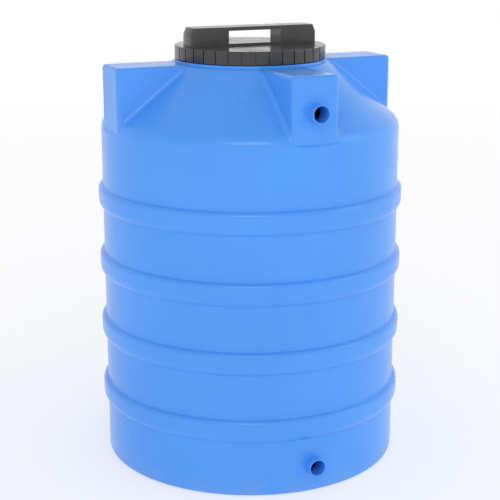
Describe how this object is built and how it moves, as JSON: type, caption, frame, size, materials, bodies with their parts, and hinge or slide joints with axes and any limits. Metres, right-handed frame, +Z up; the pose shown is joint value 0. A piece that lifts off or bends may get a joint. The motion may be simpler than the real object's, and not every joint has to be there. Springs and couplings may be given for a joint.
{
  "type": "water storage tank",
  "caption": "Upright cylindrical water tank in blue plastic with raised bands, shoulder bosses, spigots at top and bottom of the front, and a black screw lid with a bridge handle.",
  "frame": {"origin": "centre of the tank's flat underside, on the tank's axis", "axes": "+Z up along the tank's axis; -Y is the front, the way both spigots point; +X along the lid's handle"},
  "size_m": [0.6899, 0.7045, 0.98],
  "materials": {
    "blue_polyethylene": "soft gloss, rotomoulded",
    "blue_fitting": "soft gloss, machined ends",
    "black_lid_plastic": "injection moulded, glossy",
    "seal_rubber": "matt"
  },
  "bodies": {
    "tank": {"tank_shell": "blue_polyethylene", "inlet_spigot": "blue_fitting", "outlet_spigot": "blue_fitting"},
    "gasket": {"lid_gasket": "seal_rubber"},
    "lid": {"screw_lid": "black_lid_plastic"}
  },
  "joints": [
    {"name": "lid_rise", "type": "slide", "parent": "tank", "child": "gasket", "axis": [0, 0, 1], "range_m": [0, 0.0301]},
    {"name": "lid_turn", "type": "hinge", "parent": "gasket", "child": "lid", "pos_m": [0, 0, 0.93], "axis": [0, 0, 1], "range_deg": [0, 900]}
  ],
  "couplings": [
    {"joint": "lid_rise", "follows": "lid_turn", "m_per_rad": 0.0019099}
  ]
}
